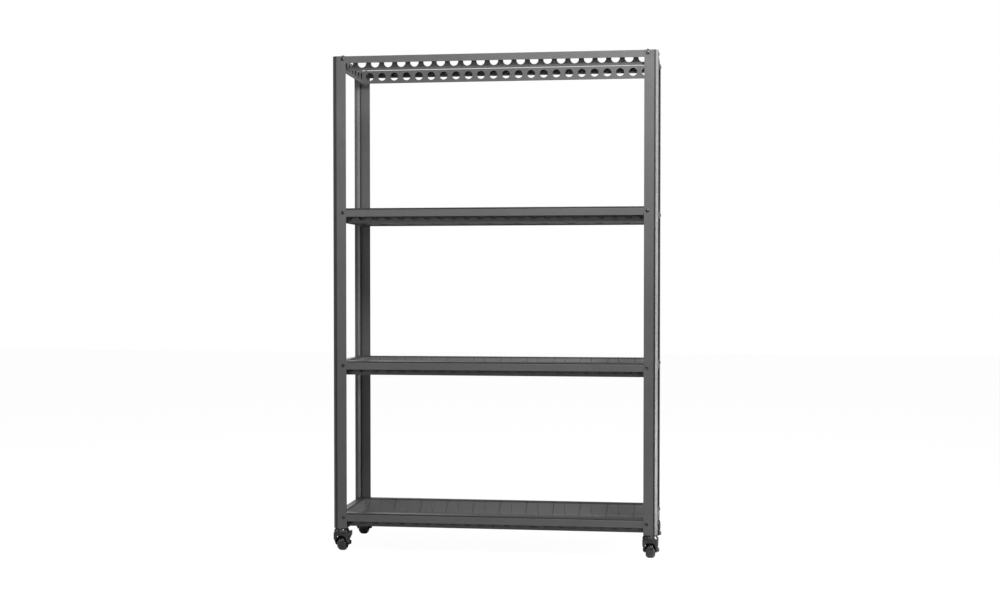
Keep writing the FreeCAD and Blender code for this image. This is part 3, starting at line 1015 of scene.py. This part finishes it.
@dataclass
class FrameFasteners:
    """Button-head bolts, hexagon nuts and top screws of the frame."""

    bolt_head_radius: float = 5.2 * MM
    bolt_head_height: float = 2.2 * MM
    bolt_radius: float = 3.0 * MM
    bolt_length: float = 11.5 * MM
    bolt_tip: float = 0.6 * MM
    bolt_taper: float = 0.82
    dome_steps: int = 5
    dome_start: float = 12.0
    dome_turn: float = 13.0
    dome_rise: float = 0.9
    dome_swell: float = 0.62
    socket_half_width: float = 2.0 * MM
    socket_depth: float = 1.3 * MM
    nut_half_width: float = 5.0 * MM
    nut_height: float = 5.0 * MM
    nut_seat: float = 1.02
    chamfer: float = 0.5 * MM
    bolt_inset: float = 31.0 * MM
    side_bolt_inset: float = 33.0 * MM
    bolt_drop: float = 9.0 * MM
    sheet_stack: float = 2.7 * MM
    screw_radius: float = 2.0 * MM
    screw_taper: float = 0.7
    screw_head_radius: float = 4.0 * MM
    screw_head_height: float = 3.0 * MM
    screw_head: tuple[Pair, ...] = ((0.45, 1.0), (0.72, 0.92), (0.92, 0.74), (1.0, 0.62))
    screw_length: float = 2.8 * MM
    screw_sides: int = 32
    thread_pitch: float = 1.0 * MM
    thread_depth: float = 0.3 * MM
    thread_sunk: float = 0.4
    thread_steps: int = 16
    sides: int = 24

    def seats(self, tier: str) -> list[Seat]:
        """Seat and outward direction of every bolt of one tier."""
        low, _ = (Vector(v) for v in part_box("front_left_post"))
        _, high = (Vector(v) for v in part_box("rear_right_post"))
        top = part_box(tier + "_front_rail")[1][2] - self.bolt_drop
        seats = []
        for x_face, sx in ((low.x, -1), (high.x, 1)):
            for y_face, sy in ((low.y, -1), (high.y, 1)):
                along = Vector((x_face - sx * self.bolt_inset, y_face, top))
                seats.append(Seat(along, Vector((0, sy, 0))))
                across = Vector((x_face, y_face - sy * self.side_bolt_inset, top))
                seats.append(Seat(across, Vector((sx, 0, 0))))
        return seats

    def bolt(self) -> Piece:
        """Button-head bolt with a hexagon socket, head above the origin."""
        r, h, hexagon = self.bolt_head_radius, self.bolt_head_height, self.socket_half_width
        rings = [
            Ring(-self.bolt_length, self.bolt_radius * self.bolt_taper),
            Ring(-self.bolt_length + self.bolt_tip, self.bolt_radius),
            Ring(0, self.bolt_radius),
            Ring(0, r * 0.97),
            Ring(0.3 * MM, r),
        ]
        for step in range(1, self.dome_steps + 1):
            turn = math.radians(self.dome_start + self.dome_turn * step)
            up, out = math.sin(turn) ** self.dome_rise, math.cos(turn) ** self.dome_swell
            rings.append(Ring(h * up, r * out))
        rings += [
            Ring(h, hexagon + 0.9 * MM),
            Ring(h, hexagon + 0.15 * MM, Form.HEX),
            Ring(h - 0.2 * MM, hexagon, Form.HEX),
            Ring(h - self.socket_depth, hexagon, Form.HEX),
            Ring(h - self.socket_depth - 0.4 * MM, 0.5 * MM),
        ]
        return turned_mesh("button_bolt", rings, self.sides)

    def nut(self) -> Piece:
        """Chamfered hexagon nut, its seat on the origin and its body along +Z."""
        w, h, bore, cut = self.nut_half_width, self.nut_height, self.bolt_radius, self.chamfer
        rings = [
            Ring(0, w, Form.HEX, w * self.nut_seat),
            Ring(cut, w, Form.HEX),
            Ring(h - cut, w, Form.HEX),
            Ring(h, w, Form.HEX, w),
            Ring(h, bore + cut),
            Ring(h - cut, bore),
            Ring(cut, bore),
            Ring(0, bore + cut),
        ]
        return turned_mesh("hexagon_nut", rings, self.sides, hollow=True)

    def screw(self) -> Piece:
        """Pan-head screw with a cross recess, head above the origin."""
        r, h = self.screw_head_radius, self.screw_head_height
        rings = [
            Ring(-self.screw_length, self.screw_radius * self.screw_taper),
            Ring(-self.screw_length + self.chamfer, self.screw_radius),
            Ring(0, self.screw_radius),
            Ring(0, r * 0.96),
            Ring(0.25 * MM, r),
        ]
        rings += [Ring(h * up, r * out) for up, out in self.screw_head]
        rings += [
            Ring(h, r * 0.52, Form.CROSS),
            Ring(h - 1.2 * MM, r * 0.34, Form.CROSS),
            Ring(h - 1.5 * MM, 0.3 * MM),
        ]
        return turned_mesh("pan_head_screw", rings, self.screw_sides)

    @staticmethod
    def set_out(
        shop: Workshop, name: str, seats: bpy.types.Mesh, small: Piece, slot: str, node: str
    ) -> None:
        """Sets one small piece on every seat, in place of a plain node and in a slot's finish."""
        settings = {"Pattern": small, "Finish": shop.finishes[slot]}
        shop.keep(shop.scatter.bake(name, seats, settings), "frame", [node])

    def build(self, shop: Workshop) -> None:
        """Sets the bolts, nuts and screws that stand for the plain ones."""
        bolt, nut, screw = self.bolt(), self.nut(), self.screw()
        black, zinc = "black_fasteners", "zinc_steel"
        for tier in TIERS:
            seats = self.seats(tier)
            name = tier + "_bolts_detailed"
            cloud = seat_cloud(name, seats)
            self.set_out(shop, name, cloud, bolt, black, tier + "_tier_bolts")
            name = tier + "_nuts_detailed"
            inner = [Seat(s.place - s.facing * self.sheet_stack, -s.facing) for s in seats]
            cloud = seat_cloud(name, inner)
            self.set_out(shop, name, cloud, nut, zinc, tier + "_tier_nuts")
        self.wind(shop)
        top_low, top_high = (Vector(v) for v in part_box("top_frame_screws"))
        height = top_high.z - self.screw_head_height
        r = self.screw_head_radius
        seats = []
        for x in (top_low.x + r, top_high.x - r):
            for y in (top_low.y + r, top_high.y - r):
                seats.append(Seat(Vector((x, y, height)), UP))
        cloud = seat_cloud("top_screws", seats)
        self.set_out(shop, "top_screws_detailed", cloud, screw, black, "top_frame_screws")

    def wind(self, shop: Workshop) -> None:
        """Winds the thread on the end of every bolt, behind its nut."""
        length = self.bolt_length - self.sheet_stack - self.nut_height - self.bolt_tip
        seats = []
        for tier in TIERS:
            for seat in self.seats(tier):
                tip = seat.place - seat.facing * (self.bolt_length - self.bolt_tip)
                seats.append(Seat(tip, seat.facing))
        settings = {
            "Radius": self.bolt_radius - self.thread_depth * self.thread_sunk,
            "Steps": self.thread_steps,
            "Turns": length / self.thread_pitch,
            "Length": length,
            "Depth": self.thread_depth,
            "Finish": shop.finishes["black_fasteners"],
        }
        piece = shop.threads.bake("bolt_threads", seat_cloud("bolt_threads", seats), settings)
        shop.keep(piece, "frame")

    def dress(self, shop: Workshop) -> None:
        """The plain fasteners are all replaced, but keep a finish of their own."""
        for tier in TIERS:
            shop.dress(tier + "_tier_bolts", "black_fasteners")
            shop.dress(tier + "_tier_nuts", "zinc_steel")
        shop.dress("top_frame_screws", "black_fasteners")


@dataclass
class Casters:
    """Four swivel casters, with their bearings, stems and brakes."""

    tyre_bore: float = 17.0 * MM
    shoulder: float = 10.0 * MM
    shoulder_steps: int = 10
    covered_steps: int = 3
    crown: float = 0.12 * MM
    seam: float = 0.12 * MM
    seam_half: float = 0.35 * MM
    edge: float = 0.4 * MM
    side_groove: float = 0.35 * MM
    groove_start: float = 1.4 * MM
    groove_stop: float = 2.2 * MM
    groove_slope: float = 0.2 * MM
    sides: int = 96

    def tread(self, half: float, radius: float) -> list[Ring]:
        """Outlines of one tyre along its axle, from its bore round the tread and back.

        Args:
            half: Half the width of the tyre.
            radius: Radius of the tread.

        Returns:
            The rings of a closed skin.
        """
        bore, flank, sunk = self.tyre_bore, radius - self.shoulder, half - self.side_groove
        groove_in, groove_out = bore + self.groove_start, bore + self.groove_stop
        side = [
            (half - self.edge, bore),
            (half, bore + self.edge),
            (half, groove_in),
            (sunk, groove_in + self.groove_slope),
            (sunk, groove_out - self.groove_slope),
        ]
        flat = groove_out < flank
        if flat:
            side += [(half, groove_out), (half, flank)]
        for step in range(0 if flat else self.covered_steps, self.shoulder_steps + 1):
            turn = math.pi / 2 * step / self.shoulder_steps
            out = half - self.shoulder * (1 - math.cos(turn))
            side.append((out, flank + (self.shoulder - self.crown) * math.sin(turn)))
        foot = radius - self.seam
        side += [(self.seam_half * 2, foot), (self.seam_half, foot), (0.0, radius)]
        across = [Ring(x, r) for x, r in side]
        back = [Ring(-x, r) for x, r in reversed(side[:-1])]
        return across + back

    def build(self, shop: Workshop) -> None:
        """Turns a finer tyre for every wheel."""
        for corner in Corner:
            node = corner.label + "_tyre"
            low, high = (Vector(v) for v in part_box(node))
            size = high - low
            rings = self.tread(size.x / 2, size.z / 2)
            piece = shown(turned_mesh(node + "_moulded", rings, self.sides, hollow=True))
            turn = Matrix.Rotation(math.pi / 2, 4, "Y")
            piece.data.transform(Matrix.Translation((low + high) / 2) @ turn)
            piece.data.materials.append(shop.finishes["tyre"])
            shop.keep(piece, corner.label + "_wheel", [node])

    def dress(self, shop: Workshop) -> None:
        """Finishes of the casters."""
        for corner in Corner:
            shop.dress(corner.label + "_caster_fork", "caster_black")
            shop.dress(corner.label + "_axle", "black_fasteners")
            shop.dress(corner.label + "_wheel_core", "wheel_plastic")
            shop.dress(corner.label + "_tyre", "tyre")
            if corner.braked:
                shop.dress(corner.label + "_brake_pedal", "pedal_black")
        shop.dress("bearing_caps", "caster_black")
        shop.dress("caster_stems", "zinc_steel")
        shop.dress("caster_nuts", "zinc_steel")
        shop.dress("bearing_balls", "ball_steel")


@dataclass(frozen=True)
class Lamp:
    """A soft rectangular lamp: its place, width and height, power in watts and aim."""

    name: str
    place: tuple[float, float, float]
    size: Pair
    power: float
    aim: tuple[float, float, float]


@dataclass
class Studio:
    """White studio: paper floor, soft lamps and the camera."""

    eye: tuple[float, float, float] = (0.5818, -4.3368, 0.814)
    yaw: float = 0.1337
    pitch: float = -0.0244
    lens: float = 51.12
    sensor: float = 36.0
    rise: float = 0.017
    ambient: float = 0.18
    floor_reach: float = 12.0
    lamps: tuple[Lamp, ...] = (
        Lamp("key_lamp", (1.0, -1.6, 2.5), (0.8, 0.8), 83.0, (0.1, 0.0, 1.3)),
        Lamp("front_lamp", (-1.9, -3.1, 1.2), (1.2, 1.2), 8.0, (0.0, 0.0, 0.7)),
        Lamp("rear_lamp", (-1.4, 2.6, 2.0), (1.4, 1.4), 22.0, (0.0, 0.0, 0.8)),
        Lamp("strip_lamp", (-0.3, -2.4, 1.55), (1.6, 0.3), 5.0, (0.0, 0.0, 1.4)),
        Lamp("side_lamp", (2.7, 0.0, 1.1), (0.9, 2.6), 70.0, (0.45, -0.17, 0.85)),
        Lamp("foot_lamp", (0.82, -0.17, 0.21), (0.16, 0.38), 1.15, (0.48, -0.17, 0.21)),
        Lamp("left_lamp", (-2.6, -0.6, 1.2), (0.6, 2.6), 7.0, (-0.45, -0.17, 0.9)),
    )

    def hang(self, lamp: Lamp) -> None:
        """Adds one soft lamp."""
        data = bpy.data.lights.new(lamp.name, "AREA")
        data.shape = "RECTANGLE"
        data.size, data.size_y = lamp.size
        data.energy = lamp.power
        holder = bpy.data.objects.new(lamp.name, data)
        holder.location = lamp.place
        holder.rotation_mode = "QUATERNION"
        aim = Vector(lamp.aim) - Vector(lamp.place)
        holder.rotation_quaternion = aim.to_track_quat("-Z", "Y")
        holder.visible_camera = False
        shown(holder)

    def build(self) -> None:
        """Sets the floor, lamps, world, camera and view transform."""
        scene = bpy.context.scene
        scene.view_settings.view_transform = "Standard"
        self.world()
        self.floor()
        for lamp in self.lamps:
            self.hang(lamp)
        camera = bpy.data.cameras.new("camera")
        camera.lens = self.lens
        camera.sensor_width = self.sensor
        camera.shift_y = self.rise
        holder = shown(bpy.data.objects.new("camera", camera))
        holder.location = self.eye
        holder.rotation_euler = (math.pi / 2 + self.pitch, 0.0, self.yaw)
        scene.camera = holder
        LOG.info("studio ready")

    def world(self) -> None:
        """White world for the eye and through clear pieces, and a gentle light for all the rest."""
        world = bpy.data.worlds.new("studio_world")
        bpy.context.scene.world = world
        world.use_nodes = True
        tree = world.node_tree
        tree.nodes.clear()
        shades = []
        for strength in (self.ambient, 1.0):
            shade = tree.nodes.new("ShaderNodeBackground")
            shade.inputs["Color"].default_value = WHITE
            shade.inputs["Strength"].default_value = strength
            shades.append(shade.outputs["Background"])
        path = tree.nodes.new("ShaderNodeLightPath")
        seen = tree.nodes.new("ShaderNodeMath")
        seen.operation = "MAXIMUM"
        tree.links.new(path.outputs["Is Camera Ray"], seen.inputs[0])
        tree.links.new(path.outputs["Is Transmission Ray"], seen.inputs[1])
        mixed(tree, "ShaderNodeOutputWorld", seen.outputs["Value"], *shades)

    def floor(self) -> None:
        """Wide paper floor under the casters."""
        data = bpy.data.meshes.new("studio_floor")
        far = self.floor_reach
        corners = [(-far, -far, 0.0), (far, -far, 0.0), (far, far, 0.0), (-far, far, 0.0)]
        data.from_pydata(corners, [], [(0, 1, 2, 3)])
        data.materials.append(StudioPaper("studio_paper").make())
        floor = shown(bpy.data.objects.new("studio_floor", data))


FINISHES = (
    # The posts carry painted shade in the lines beside their corner strips.
    PowderCoat("post_coat", (0.084, 0.084, 0.086), roughness=0.36, fold_shade=0.2, peel_depth=0.000015),
    PowderCoat("rail_coat", (0.086, 0.086, 0.088)),
    # The pans carry painted shade on their rib slopes and in a band along their rims.
    PowderCoat("pan_coat", (0.105, 0.105, 0.107), slope_shade=0.05, rim_shade=0.3),
    PlatedSteel("black_fasteners", (0.07, 0.07, 0.072), roughness=0.3),
    PlatedSteel("zinc_steel", (0.5, 0.5, 0.51)),
    PlatedSteel("ball_steel", (0.72, 0.72, 0.73), roughness=0.12),
    GlossCoat("caster_black", (0.02, 0.02, 0.021)),
    Moulding("wheel_plastic", (0.02, 0.02, 0.021), 0.35, coat=0.3),
    Moulding("tyre", (0.018, 0.018, 0.019), 0.28, coat=0.5),
    GlossCoat("pedal_black", (0.022, 0.022, 0.023)),
)


def main() -> None:
    """Loads the frame, builds and dresses each sub-assembly, and sets the studio."""
    logging.basicConfig(level=logging.INFO, format="%(name)s: %(message)s")
    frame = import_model()
    finishes = {finish.name: finish.make() for finish in FINISHES}
    shop = Workshop(frame["nodes"], finishes, scatter_graph(), thread_graph(), channel_graph())
    for assembly in (Posts(), Rails(), ShelfPans(), FrameFasteners(), Casters()):
        assembly.build(shop)
        assembly.dress(shop)
        LOG.info("finished %s", type(assembly).__name__)
    Studio().build()


if __name__ == "__main__":
    main()
